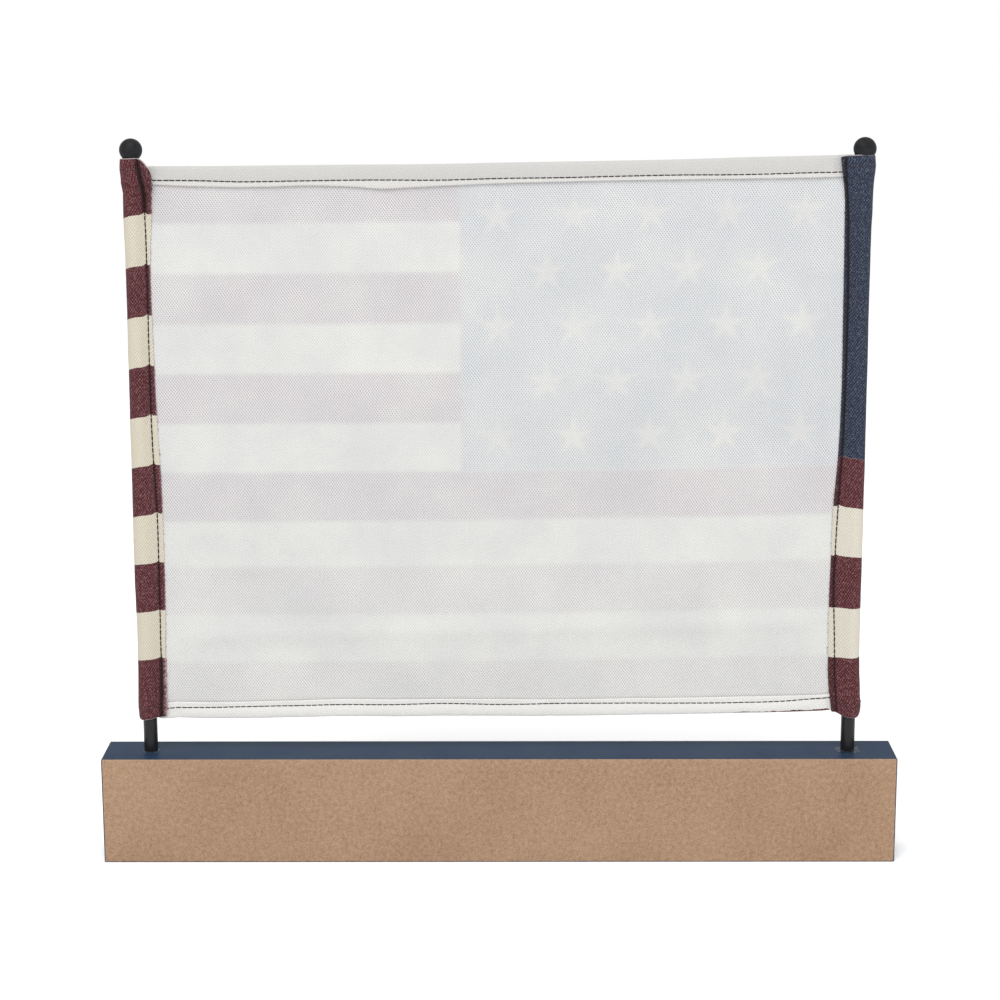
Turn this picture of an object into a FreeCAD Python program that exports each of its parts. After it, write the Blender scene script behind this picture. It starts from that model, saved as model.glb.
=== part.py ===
# Tabletop flag display: a flag on two upright rods that stand in a painted MDF block.
#
# Frame: millimetres, +Z up, origin at the middle of the block's underside.
# The raw, unpainted back of the block faces -Y and the printed side of the flag faces +Y.
# Left and right are as seen from -Y, so the left rod stands at -X.
# Each sub-part is one object of the document, and its label names its STEP file.

import FreeCAD, Part
import math
import os

import Sketcher
from FreeCAD import Rotation, Vector

# ---------------------------------------------------------------- driving dimensions

# alias, value in millimetres, meaning
DIMENSIONS = [
    ("block_length", 360, "length of the block, along X"),
    ("block_depth", 27, "depth of the block, along Y"),
    ("block_height", 49, "height of the block"),
    ("block_easing", 0.6, "radius of the block's eased edges"),
    ("rod_diameter", 6.35, "diameter of both rods"),
    ("rod_spacing", 318, "distance between the rods' axes"),
    ("socket_depth", 30, "depth of the blind sockets that hold the rods"),
    ("glued_gap", 0.05, "radial gap of a glued joint"),
    ("finial_diameter", 10, "diameter of the ball finials"),
    ("finial_rise", 272.3, "ball centre above the block"),
    ("finial_grip", 0.8, "how far a rod reaches past the ball's centre"),
    ("glue_width", 1.3, "width of the glue fillet round a rod"),
    ("glue_rise", 0.9, "height of the glue fillet"),
    ("cloth_thickness", 0.4, "one layer of the flag's cloth"),
    ("left_low", 15.4, "flag's lower edge above the block, at the left"),
    ("left_high", 265.8, "flag's upper edge above the block, at the left"),
    ("right_low", 18.4, "flag's lower edge above the block, at the right"),
    ("right_high", 269.9, "flag's upper edge above the block, at the right"),
    ("top_hem_height", 9.7, "height of the turned top hem"),
    ("bottom_hem_height", 8, "height of the turned bottom hem"),
    ("hem_thickness", 0.8, "the two turned layers of a hem"),
    ("top_stitch_drop", 7, "top stitch line below the upper edge"),
    ("bottom_stitch_rise", 5.6, "bottom stitch line above the lower edge"),
    ("thread_width", 0.5, "width of a row of stitches"),
    ("thread_thickness", 0.25, "how far a row of stitches stands on the cloth"),
    ("pocket_low", 15, "lower end of the rod pockets above the block"),
    ("pocket_high", 268.3, "upper end of the rod pockets above the block"),
    ("left_bulge", 3.85, "inner radius of the left pocket's outer side"),
    ("left_slack", 0.45, "how far the left pocket's bulge lies outside its rod"),
    ("left_seam", 4.7, "left rod's axis to the inside of the pocket's seam"),
    ("left_flap", 7.7, "left rod's axis to the edge of the pocket's flap"),
    ("right_bulge", 3.6, "inner radius of the right pocket's outer side"),
    ("right_slack", 0.2, "how far the right pocket's bulge lies outside its rod"),
    ("right_seam", 6.7, "right rod's axis to the inside of the pocket's seam"),
    ("right_flap", 9, "right rod's axis to the edge of the pocket's flap"),
]

doc = FreeCAD.newDocument("flag_display")
sheet = doc.addObject("Spreadsheet::Sheet", "dims")
for row, (alias, value, meaning) in enumerate(DIMENSIONS, start=1):
    sheet.set(f"A{row}", meaning)
    sheet.set(f"B{row}", str(value))
    sheet.setAlias(f"B{row}", alias)
doc.recompute()

BLOCK_TOP = "dims.block_height"
ROD_X = {"left": "-dims.rod_spacing / 2", "right": "dims.rod_spacing / 2"}

nodes = []


# ---------------------------------------------------------------- helpers

def size(expression):
    """The number that an expression on the sheet gives."""
    return float(FreeCAD.Units.Quantity(sheet.evalExpression(expression)).Value)


def new_node(kind, name):
    """A sub-part: a document object whose label names its node."""
    node = doc.addObject(kind, name)
    node.Label = name
    nodes.append(node)
    return node


def put(item, x="0", y="0", z="0"):
    """Bind an object's place to expressions on the sheet."""
    for axis, expression in (("x", x), ("y", y), ("z", z)):
        item.setExpression(f"Placement.Base.{axis}", expression)


def origin_feature(body, role):
    """A plane or axis of the body's own origin."""
    return next(item for item in body.Origin.OriginFeatures if item.Role == role)


def new_sketch(body, plane, name, offset="0"):
    """A sketch on one of the body's origin planes, moved along the plane's normal."""
    sketch = body.newObject("Sketcher::SketchObject", f"{body.Name}_{name}")
    sketch.AttachmentSupport = [(origin_feature(body, plane), "")]
    sketch.MapMode = "FlatFace"
    sketch.setExpression("AttachmentOffset.Base.z", offset)
    return sketch


def bind(sketch, constraint, name, expression):
    """Add a dimension to the sketch and bind it to the sheet."""
    index = sketch.addConstraint(constraint)
    sketch.renameConstraint(index, name)
    sketch.setExpression(f"Constraints.{name}", expression)


def bind_start(sketch, line, x, y):
    """Fix the start of a line at a point given by two expressions."""
    for kind, expression in (("DistanceX", x), ("DistanceY", y)):
        dimension = Sketcher.Constraint(kind, -1, 1, line, 1, size(expression))
        bind(sketch, dimension, f"{kind}_{line}", expression)


def add_polygon(sketch, points):
    """A closed outline through points given as pairs of expressions."""
    corners = [Vector(size(x), size(y), 0) for x, y in points]
    first = sketch.GeometryCount
    count = len(points)
    for i in range(count):
        sketch.addGeometry(Part.LineSegment(corners[i], corners[(i + 1) % count]), False)
    for i, (x, y) in enumerate(points):
        follower = first + (i + 1) % count
        sketch.addConstraint(Sketcher.Constraint("Coincident", first + i, 2, follower, 1))
        bind_start(sketch, first + i, x, y)


def add_rectangle(sketch, x_range, y_range):
    """A rectangle between two x expressions and two y expressions."""
    (x0, x1), (y0, y1) = x_range, y_range
    add_polygon(sketch, [(x0, y0), (x1, y0), (x1, y1), (x0, y1)])


def add_circle(sketch, radius, x="0"):
    """A circle on the sketch's x axis."""
    centre = Vector(size(x), 0, 0)
    circle = sketch.addGeometry(Part.Circle(centre, Vector(0, 0, 1), size(radius)), False)
    sketch.addConstraint(Sketcher.Constraint("PointOnObject", circle, 3, -1))
    place = Sketcher.Constraint("DistanceX", -1, 1, circle, 3, centre.x)
    bind(sketch, place, f"centre_{circle}", x)
    bind(sketch, Sketcher.Constraint("Radius", circle, size(radius)), f"radius_{circle}", radius)


def add_pad(body, sketch, length):
    """Pad a sketch by a length on the sheet."""
    pad = body.newObject("PartDesign::Pad", f"{sketch.Name}_pad")
    pad.Profile = sketch
    pad.setExpression("Length", length)
    return pad


# ---------------------------------------------------------------- stand

def make_base_block():
    """MDF block with eased upper edges and two blind sockets."""
    body = new_node("PartDesign::Body", "base_block")
    outline = new_sketch(body, "XY_Plane", "outline")
    add_rectangle(outline, ("-dims.block_length / 2", "dims.block_length / 2"),
                  ("-dims.block_depth / 2", "dims.block_depth / 2"))
    pad = add_pad(body, outline, BLOCK_TOP)
    doc.recompute()
    eased = [f"Edge{i}" for i, edge in enumerate(pad.Shape.Edges, start=1)
             if edge.BoundBox.ZMax > size(BLOCK_TOP) / 2]
    fillet = body.newObject("PartDesign::Fillet", "block_easing")
    fillet.Base = (pad, eased)
    fillet.setExpression("Radius", "dims.block_easing")
    sockets = new_sketch(body, "XY_Plane", "sockets", BLOCK_TOP)
    for side in ("left", "right"):
        add_circle(sockets, "dims.rod_diameter / 2 + dims.glued_gap", ROD_X[side])
    doc.recompute()
    solid_volume = body.Shape.Volume
    bores = body.newObject("PartDesign::Pocket", "socket_bores")
    bores.Profile = sockets
    bores.setExpression("Length", "dims.socket_depth")
    doc.recompute()
    bore_area = math.pi * size("dims.rod_diameter / 2 + dims.glued_gap") ** 2
    removed = solid_volume - body.Shape.Volume
    if abs(removed / (2 * bore_area * size("dims.socket_depth")) - 1) > 0.01:
        raise RuntimeError("base_block: the sockets are not cut as drawn")


def make_rod(side):
    """Rod from the bottom of its socket to the end of its finial's bore."""
    body = new_node("PartDesign::Body", f"{side}_rod")
    section = new_sketch(body, "XY_Plane", "section")
    add_circle(section, "dims.rod_diameter / 2")
    add_pad(body, section, "dims.socket_depth + dims.finial_rise + dims.finial_grip")
    put(body, x=ROD_X[side], z=f"{BLOCK_TOP} - dims.socket_depth")


def make_finial(side):
    """Ball with a blind bore for the rod's upper end."""
    ball = doc.addObject("Part::Sphere", f"{side}_ball")
    ball.setExpression("Radius", "dims.finial_diameter / 2")
    bore = doc.addObject("Part::Cylinder", f"{side}_ball_bore")
    bore.setExpression("Radius", "dims.rod_diameter / 2 + dims.glued_gap")
    bore.setExpression("Height", "dims.finial_diameter + dims.finial_grip")
    put(bore, z="-dims.finial_diameter")
    finial = new_node("Part::Cut", f"{side}_finial")
    finial.Base = ball
    finial.Tool = bore
    put(finial, x=ROD_X[side], z=f"{BLOCK_TOP} + dims.finial_rise")


def make_socket_glue(side):
    """Fillet of glue round the rod at the mouth of its socket."""
    body = new_node("PartDesign::Body", f"{side}_socket_glue")
    section = new_sketch(body, "XZ_Plane", "section")
    inner = "dims.rod_diameter / 2 + dims.glued_gap"
    add_polygon(section, [(inner, "0"), (f"{inner} + dims.glue_width", "0"), (inner, "dims.glue_rise")])
    ring = body.newObject("PartDesign::Revolution", f"{side}_glue_ring")
    ring.Profile = section
    ring.ReferenceAxis = (origin_feature(body, "Z_Axis"), [""])
    ring.Angle = 360
    put(body, x=ROD_X[side], z=BLOCK_TOP)


# ---------------------------------------------------------------- flag

# The flat cloth spans from one pocket's flap to the other's, and its edges slope with them.
LEFT_X = "(-dims.rod_spacing / 2 + dims.left_flap)"
RIGHT_X = "(dims.rod_spacing / 2 - dims.right_flap)"
TOP_LEFT = "dims.left_high"
TOP_RIGHT = "dims.right_high"
LOW_LEFT = "dims.left_low"
LOW_RIGHT = "dims.right_low"


def add_cloth_strip(body, name, low, high, back, thickness):
    """Layer of cloth seen from -Y between two sloping edges.

    low and high are each a left and a right height above the block, back is how far
    the layer starts towards -Y from the middle of the cloth.
    """
    sketch = new_sketch(body, "XZ_Plane", name, back)
    add_polygon(sketch, [(LEFT_X, low[0]), (RIGHT_X, low[1]), (RIGHT_X, high[1]), (LEFT_X, high[0])])
    add_pad(body, sketch, thickness)
    put(body, z=BLOCK_TOP)


def make_flag_panel():
    """The single layer of cloth between the pockets."""
    body = new_node("PartDesign::Body", "flag_panel")
    add_cloth_strip(body, "outline", (LOW_LEFT, LOW_RIGHT), (TOP_LEFT, TOP_RIGHT),
                    "-dims.cloth_thickness / 2", "dims.cloth_thickness")


def make_hem(name, low, high):
    """Turned edge of the cloth, lying on the panel's back."""
    body = new_node("PartDesign::Body", name)
    add_cloth_strip(body, "outline", low, high, "dims.cloth_thickness / 2", "dims.hem_thickness")


def make_hem_stitching(name, heights):
    """Row of stitches through a hem: a strand on its back and one on the panel's front."""
    body = new_node("PartDesign::Body", name)
    body.AllowCompound = True
    low = [f"{height} - dims.thread_width / 2" for height in heights]
    high = [f"{height} + dims.thread_width / 2" for height in heights]
    add_cloth_strip(body, "back_strand", low, high,
                    "dims.cloth_thickness / 2 + dims.hem_thickness", "dims.thread_thickness")
    add_cloth_strip(body, "front_strand", low, high,
                    "-dims.cloth_thickness / 2 - dims.thread_thickness", "dims.thread_thickness")


def add_teardrop(sketch, radius, ends):
    """Outline round a rod: an arc about the origin and a tangent line to each end of its mouth.

    ends are the points that close the outline, from the lower tangent line's end to the
    upper one's, each a pair of expressions.
    """
    points = [Vector(size(x), size(y), 0) for x, y in ends]
    mouth = points[0]
    half_mouth = math.acos(size(radius) / mouth.Length) - math.atan2(mouth.y, mouth.x)
    arc = Part.ArcOfCircle(Part.Circle(Vector(), Vector(0, 0, 1), size(radius)),
                           half_mouth, 2 * math.pi - half_mouth)
    sketch.addGeometry(arc, False)
    corners = [arc.EndPoint] + points + [arc.StartPoint]
    for start, end in zip(corners, corners[1:]):
        sketch.addGeometry(Part.LineSegment(start, end), False)
    last = len(corners) - 1
    sketch.addConstraint(Sketcher.Constraint("Coincident", 0, 3, -1, 1))
    bind(sketch, Sketcher.Constraint("Radius", 0, size(radius)), "radius", radius)
    sketch.addConstraint(Sketcher.Constraint("Tangent", 0, 2, 1, 1))
    sketch.addConstraint(Sketcher.Constraint("Tangent", last, 2, 0, 1))
    for line, (x, y) in enumerate(ends, start=2):
        sketch.addConstraint(Sketcher.Constraint("Coincident", line - 1, 2, line, 1))
        bind_start(sketch, line, x, y)


def turn_inwards(body, side):
    """Turn a pocket's body so that its own +X points to the middle of the flag."""
    if side == "right":
        body.Placement.Rotation = Rotation(Vector(0, 0, 1), 180)
    outwards = "-" if side == "left" else "+"
    put(body, x=f"{ROD_X[side]} {outwards} dims.{side}_slack", z=f"{BLOCK_TOP} + dims.pocket_low")


def make_pocket(side):
    """Sleeve of cloth round a rod, closed by a seam with a flat flap beside it."""
    body = new_node("PartDesign::Body", f"{side}_rod_pocket")
    length = "dims.pocket_high - dims.pocket_low"
    seam = f"dims.{side}_slack + dims.{side}_seam"
    seam_edge = f"{seam} + dims.cloth_thickness"
    flap_edge = f"dims.{side}_slack + dims.{side}_flap"
    layer = "dims.cloth_thickness"
    outer = new_sketch(body, "XY_Plane", "outer")
    add_teardrop(outer, f"dims.{side}_bulge + {layer}",
                 [(seam_edge, f"-{layer}"), (flap_edge, f"-{layer}"),
                  (flap_edge, layer), (seam_edge, layer)])
    add_pad(body, outer, length)
    doc.recompute()
    solid_volume = body.Shape.Volume
    inner = new_sketch(body, "XY_Plane", "inner")
    add_teardrop(inner, f"dims.{side}_bulge", [(seam, "0")])
    bore = body.newObject("PartDesign::Pocket", f"{side}_pocket_bore")
    bore.Profile = inner
    bore.Reversed = True
    bore.setExpression("Length", length)
    turn_inwards(body, side)
    doc.recompute()
    if body.Shape.Volume > 0.5 * solid_volume:
        raise RuntimeError(f"{body.Label}: the pocket is not hollow")


def make_pocket_stitching(side):
    """Row of stitches beside a rod: a strand on each face of the pocket's flap."""
    body = new_node("PartDesign::Body", f"{side}_pocket_stitching")
    body.AllowCompound = True
    start = f"dims.{side}_slack + dims.{side}_seam + dims.cloth_thickness"
    layer = "dims.cloth_thickness"
    section = new_sketch(body, "XY_Plane", "strands")
    for low, high in ((f"-{layer} - dims.thread_thickness", f"-{layer}"),
                      (layer, f"{layer} + dims.thread_thickness")):
        add_rectangle(section, (start, f"{start} + dims.thread_width"), (low, high))
    add_pad(body, section, "dims.pocket_high - dims.pocket_low")
    turn_inwards(body, side)


# ---------------------------------------------------------------- assembly

make_base_block()
for side in ("left", "right"):
    make_rod(side)
    make_finial(side)
    make_socket_glue(side)

make_flag_panel()
make_hem("top_hem", (f"{TOP_LEFT} - dims.top_hem_height", f"{TOP_RIGHT} - dims.top_hem_height"),
         (TOP_LEFT, TOP_RIGHT))
make_hem("bottom_hem", (LOW_LEFT, LOW_RIGHT),
         (f"{LOW_LEFT} + dims.bottom_hem_height", f"{LOW_RIGHT} + dims.bottom_hem_height"))
make_hem_stitching("top_hem_stitching", (f"{TOP_LEFT} - dims.top_stitch_drop",
                                         f"{TOP_RIGHT} - dims.top_stitch_drop"))
make_hem_stitching("bottom_hem_stitching", (f"{LOW_LEFT} + dims.bottom_stitch_rise",
                                            f"{LOW_RIGHT} + dims.bottom_stitch_rise"))
for side in ("left", "right"):
    make_pocket(side)
    make_pocket_stitching(side)

doc.recompute()

# ---------------------------------------------------------------- checks and STEP files

SOLIDS_IN_NODE = 1
SOLIDS_IN_STITCHING = 2

for item in doc.Objects:
    if "Invalid" in item.State or "Error" in item.State:
        raise RuntimeError(f"{item.Name}: {item.State}")

os.makedirs("parts", exist_ok=True)
for node in nodes:
    shape = node.Shape
    expected = SOLIDS_IN_STITCHING if node.Label.endswith("_stitching") else SOLIDS_IN_NODE
    if shape.isNull() or not shape.isValid() or len(shape.Solids) != expected:
        raise RuntimeError(f"{node.Label}: the shape is not sound")
    shape.exportStep(f"parts/{node.Label}.step")
    box = shape.BoundBox
    print(f"{node.Label:24s} {shape.Volume:12.1f} mm3   X {box.XMin:8.2f} {box.XMax:8.2f}"
          f"   Y {box.YMin:7.2f} {box.YMax:7.2f}   Z {box.ZMin:7.2f} {box.ZMax:7.2f}")
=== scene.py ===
"""Looks of a tabletop flag display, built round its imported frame.

The cloth is one cut: a panel with a doubled hem above and below, and a pocket round each rod.
Lengths in this script are millimetres and become metres when a mesh is made. X, Y and Z are the
frame's axes: the raw back of the block faces -Y.
"""
import math
import random
from functools import partialmethod

import bpy
import numpy as np
from mathutils import Euler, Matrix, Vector, noise


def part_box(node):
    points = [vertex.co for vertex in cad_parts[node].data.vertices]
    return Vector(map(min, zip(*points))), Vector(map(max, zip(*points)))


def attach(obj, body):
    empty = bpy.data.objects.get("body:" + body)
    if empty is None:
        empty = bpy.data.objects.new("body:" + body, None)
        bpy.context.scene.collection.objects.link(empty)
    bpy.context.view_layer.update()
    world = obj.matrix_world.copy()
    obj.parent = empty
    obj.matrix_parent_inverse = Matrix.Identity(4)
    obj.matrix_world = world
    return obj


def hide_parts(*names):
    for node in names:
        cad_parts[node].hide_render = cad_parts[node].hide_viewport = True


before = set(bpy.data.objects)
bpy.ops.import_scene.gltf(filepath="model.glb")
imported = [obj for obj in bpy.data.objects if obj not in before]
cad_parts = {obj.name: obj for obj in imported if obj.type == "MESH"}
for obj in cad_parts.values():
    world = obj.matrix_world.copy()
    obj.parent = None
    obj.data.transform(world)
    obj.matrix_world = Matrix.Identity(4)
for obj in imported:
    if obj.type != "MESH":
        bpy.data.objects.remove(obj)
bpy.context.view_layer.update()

METRE = 0.001  # one millimetre in metres


def box_mm(node):
    """A CAD node's lowest and highest corners in millimetres."""
    low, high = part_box(node)
    return np.array(low) / METRE, np.array(high) / METRE


# ---- places taken from the frame

BLOCK_HIGH = box_mm("base_block")[1]
BLOCK_TOP = BLOCK_HIGH[2]
ROD_RADIUS = (box_mm("left_rod")[1][0] - box_mm("left_rod")[0][0]) / 2
ROD_X = {side: box_mm(f"{side}_rod")[0][0] + ROD_RADIUS for side in ("left", "right")}
PANEL_LOW, PANEL_HIGH = box_mm("flag_panel")
SIDES = (("left", -1), ("right", 1))  # each side's name and the sign of its X


def panel_side(x):
    """Heights of the lower and the upper corner of the CAD panel on the side at x."""
    heights = [v.co.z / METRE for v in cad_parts["flag_panel"].data.vertices
               if abs(v.co.x / METRE - x) < 0.5]
    return min(heights), max(heights)


LEFT_LOW, LEFT_HIGH = panel_side(PANEL_LOW[0])
RIGHT_LOW, RIGHT_HIGH = panel_side(PANEL_HIGH[0])

# ---- camera

CAMERA_PLACE = (5.3, -1047.7, BLOCK_TOP + 344.5)
CAMERA_PITCH = 12.256  # degrees below the horizon
CAMERA_YAW = 0.252  # degrees, like the roll
CAMERA_ROLL = -0.132
CAMERA_LENS = 86.4  # on a 36 mm sensor


def make_camera():
    """The camera, at the photograph's angle."""
    data = bpy.data.cameras.new("camera")
    data.lens = CAMERA_LENS
    camera = bpy.data.objects.new("camera", data)
    camera.location = Vector(CAMERA_PLACE) * METRE
    turn = Euler((math.radians(90 - CAMERA_PITCH), 0, math.radians(CAMERA_YAW)))
    roll = Euler((0, 0, math.radians(CAMERA_ROLL)))
    camera.rotation_euler = (turn.to_matrix() @ roll.to_matrix()).to_euler()
    bpy.context.scene.collection.objects.link(camera)
    bpy.context.scene.camera = camera


# ---- node formulas

def feed(tree, node, items):
    """Gives fields or numbers to a node's first inputs."""
    for item, socket in zip(items, node.inputs):
        if isinstance(item, Field):
            tree.links.new(item.socket, socket)
        else:
            socket.default_value = item


class Field:
    """A number in a shader, so that a pattern can be written as a formula."""

    def __init__(self, tree, socket):
        self.tree = tree
        self.socket = socket

    def math(self, operation, *others):
        """The result of a Math node, whose other inputs are fields or numbers."""
        node = self.tree.nodes.new("ShaderNodeMath")
        node.operation = operation
        feed(self.tree, node, (self,) + others)
        return Field(self.tree, node.outputs[0])

    __add__ = partialmethod(math, "ADD")
    __sub__ = partialmethod(math, "SUBTRACT")
    __mul__ = partialmethod(math, "MULTIPLY")
    __truediv__ = partialmethod(math, "DIVIDE")
    below = partialmethod(math, "LESS_THAN")
    above = partialmethod(math, "GREATER_THAN")
    absolute = partialmethod(math, "ABSOLUTE")

    def inverted(self):
        """1 minus the field."""
        return self * -1.0 + 1.0

    def step(self, middle, width):
        """0 under middle, 1 over it, smooth across width."""
        ramp = self.tree.nodes.new("ShaderNodeMapRange")
        ramp.interpolation_type = "SMOOTHSTEP"
        self.tree.links.new(self.socket, ramp.inputs["Value"])
        ramp.inputs["From Min"].default_value = middle - width / 2
        ramp.inputs["From Max"].default_value = middle + width / 2
        return Field(self.tree, ramp.outputs["Result"])

    def clamp(self, low=0.0, high=1.0):
        return self.math("MAXIMUM", low).math("MINIMUM", high)


def rgb(red, green, blue):
    """A colour given as the 0 to 255 values that a screen shows."""
    def linear(value):
        value /= 255
        return value / 12.92 if value <= 0.04045 else ((value + 0.055) / 1.055) ** 2.4
    return (linear(red), linear(green), linear(blue), 1.0)


class Material:
    """A Principled material under construction."""

    def __init__(self, name):
        self.data = bpy.data.materials.new(name)
        self.data.use_nodes = True
        self.tree = self.data.node_tree
        self.shader = self.tree.nodes["Principled BSDF"]

    def set(self, **values):
        """Sets shader inputs, named with _ for a space, to values."""
        for name, value in values.items():
            self.shader.inputs[name.replace("_", " ")].default_value = value
        return self

    def coordinates(self, source="Object"):
        """The three fields of Object, in millimetres, of Normal, or of a UV map by its name."""
        if source in ("Object", "Normal"):
            socket = self.tree.nodes.new("ShaderNodeTexCoord").outputs[source]
        else:
            node = self.tree.nodes.new("ShaderNodeUVMap")
            node.uv_map = source
            socket = node.outputs["UV"]
        if source == "Object":
            scale = self.tree.nodes.new("ShaderNodeVectorMath")
            scale.operation = "SCALE"
            scale.inputs["Scale"].default_value = 1 / METRE
            self.tree.links.new(socket, scale.inputs[0])
            socket = scale.outputs[0]
        split = self.tree.nodes.new("ShaderNodeSeparateXYZ")
        self.tree.links.new(socket, split.inputs[0])
        return [Field(self.tree, out) for out in split.outputs]

    def vector(self, x, y, z=0.0):
        """A vector of three fields or numbers."""
        node = self.tree.nodes.new("ShaderNodeCombineXYZ")
        feed(self.tree, node, (x, y, z))
        return node.outputs[0]

    def noise(self, vector, size, detail, roughness=0.5):
        """Noise from 0 to 1 whose patches are about size across, in the vector's units."""
        node = self.tree.nodes.new("ShaderNodeTexNoise")
        node.inputs["Scale"].default_value = 1 / size
        node.inputs["Detail"].default_value = detail
        node.inputs["Roughness"].default_value = roughness
        self.tree.links.new(vector, node.inputs["Vector"])
        return Field(self.tree, node.outputs["Fac"])

    def mix(self, amount, first, second):
        """A colour between two colours, each a tuple or another mix."""
        node = self.tree.nodes.new("ShaderNodeMix")
        node.data_type = "RGBA"
        self.tree.links.new(amount.socket, node.inputs["Factor"])
        colours = [socket for socket in node.inputs if socket.type == "RGBA"]
        for item, socket in zip((first, second), colours):
            if isinstance(item, tuple):
                socket.default_value = item
            else:
                self.tree.links.new(item, socket)
        return next(s for s in node.outputs if s.type == "RGBA")

    def colour(self, socket):
        self.tree.links.new(socket, self.shader.inputs["Base Color"])

    def roughness(self, field):
        self.tree.links.new(field.socket, self.shader.inputs["Roughness"])

    def bump(self, field, height):
        """Relief of a given height in millimetres from a field between 0 and 1."""
        node = self.tree.nodes.new("ShaderNodeBump")
        node.inputs["Strength"].default_value = 1.0
        node.inputs["Distance"].default_value = height * METRE
        self.tree.links.new(field.socket, node.inputs["Height"])
        self.tree.links.new(node.outputs["Normal"], self.shader.inputs["Normal"])


# ---- the print on the cloth

# Cloth coordinates: u is X on the flat panel, v is the height above the block at the left rod.
V_LOW = LEFT_LOW - BLOCK_TOP
STRIPE = 22.2
FIRST_STRIPE_EDGE = 41.9  # where the lowest red stripe ends
TUCK = 1.35  # a shallow tuck across the cloth takes up this much of the print
MARGIN = 300.0  # cloth coordinates past this are the margin that the hems turn under
CANTON_LEFT = -16.3
CANTON_LOW = FIRST_STRIPE_EDGE + 4 * STRIPE
STAR_RADIUS = 9.4
STAR_WAIST = 0.4  # inner radius of a star as a share of its outer radius
STAR_ROW = 24.4  # pitch of the rows of stars
FIRST_STAR_ROW = 146.0
LONG_ROW_START, LONG_ROW_STEP = -0.1, 33.45  # the first star and the pitch in rows of five
SHORT_ROW_START, SHORT_ROW_STEP = 21.3, 30.9  # the same in rows of four
WARP = 0.594  # pitch of the upright yarns
WEFT = 0.843  # pitch of the level yarns


def star_field(u, v):
    """How far a point lies inside a star, in millimetres, on a grid of long and short rows."""
    row = ((v - FIRST_STAR_ROW) / STAR_ROW).math("ROUND").clamp(0, 4)
    dv = v - row * STAR_ROW - FIRST_STAR_ROW
    short = row.math("FLOORED_MODULO", 2.0)

    def offset(start, pitch, last):
        column = ((u - start) / pitch).math("ROUND").clamp(0, last)
        return u - column * pitch - start

    long_offset = offset(LONG_ROW_START, LONG_ROW_STEP, 4)
    short_offset = offset(SHORT_ROW_START, SHORT_ROW_STEP, 3)
    du = long_offset + (short_offset - long_offset) * short
    fifth = 2 * math.pi / 5
    turn = du.math("ARCTAN2", dv)
    folded = ((turn + fifth / 2).math("FLOORED_MODULO", fifth) - fifth / 2).absolute()
    radius = (du * du + dv * dv).math("SQRT")
    x = radius * folded.math("COSINE") - STAR_RADIUS
    y = radius * folded.math("SINE")
    inner = STAR_RADIUS * STAR_WAIST
    normal_x = inner * math.sin(fifth / 2)
    normal_y = STAR_RADIUS - inner * math.cos(fifth / 2)
    length = math.hypot(normal_x, normal_y)
    return (x * (-normal_x / length)) - y * (normal_y / length)


def print_masks(u, v, blur):
    """Masks of the red stripes, the canton and the stars, with edges of a given softness."""
    band = v.clamp(FIRST_STRIPE_EDGE - STRIPE / 2, FIRST_STRIPE_EDGE + STRIPE * 9.5)
    band = (band - FIRST_STRIPE_EDGE) / (2 * STRIPE)
    wave = ((band - 0.25).math("FLOORED_MODULO", 1.0) - 0.5).absolute()
    red = (wave * (2 * STRIPE)).step(STRIPE / 2, blur).inverted()
    canton = u.step(CANTON_LEFT, blur) * v.step(CANTON_LOW, blur)
    stars = star_field(u, v).step(0.0, blur)
    return red, canton, stars


def weave_fields(material, u, v):
    """Crowns of the yarns, and the small gaps between them, each from 0 to 1."""
    wander = material.noise(material.vector(u, v), 9.0, 1.0)
    across = (u + wander * 0.9) * (math.pi / WARP)
    along = (v + wander * 0.7) * (math.pi / WEFT)
    strong = (across + along).math("COSINE")
    weak = (across - along).math("COSINE")
    crown = (strong * 0.3 + weak * 0.2 + 0.5).clamp()
    gap = ((strong * 0.6 + weak * 0.4) * -1.0).clamp()
    return crown, gap


CLOTH_WHITE = rgb(198, 198, 195)
CLOTH_SHADE = rgb(189, 190, 189)
# Painted shade: the top hem is coloured darker than the bottom hem, most from its fold to its stitches.
SHADED_UPPER_MARGIN = rgb(179, 178, 176)
INNER_MARGIN = rgb(190, 188, 185)
LOWER_MARGIN = rgb(205, 204, 202)
# Painted shade: the cream is darker and warmer on the left than on the right.
SHADED_PRINT_CREAM = rgb(199, 195, 177)
PRINT_CREAM_RIGHT = rgb(204, 202, 188)
PRINT_RED = rgb(71, 33, 37)
PRINT_NAVY = rgb(38, 44, 59)
YARN_RELIEF = 0.16  # height of the yarns' crowns
CLOTH_SHEEN = {"Sheen_Weight": 0.03, "Sheen_Roughness": 0.5, "Specular_IOR_Level": 0.1}


def bare_fields(m, u, v):
    """The margin's unprinted part, the whole margin, and the distance past its fold."""
    turned = v.absolute().above(MARGIN - 5)
    past = v.absolute() - MARGIN
    ragged = (m.noise(m.vector(u, 0.0), 1.7, 2.0) - 0.5) * 0.9
    slipped = m.noise(m.vector(u, 7.0), 9.0, 2.0) * 1.7 * u.step(105, 60) * v.below(0.0)
    on_pocket = u.absolute().step(150.5, 2.0)
    limit = ragged + slipped * on_pocket.inverted() - on_pocket * 0.25
    return turned * (past - limit).step(0.0, 0.12), turned, past


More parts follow.
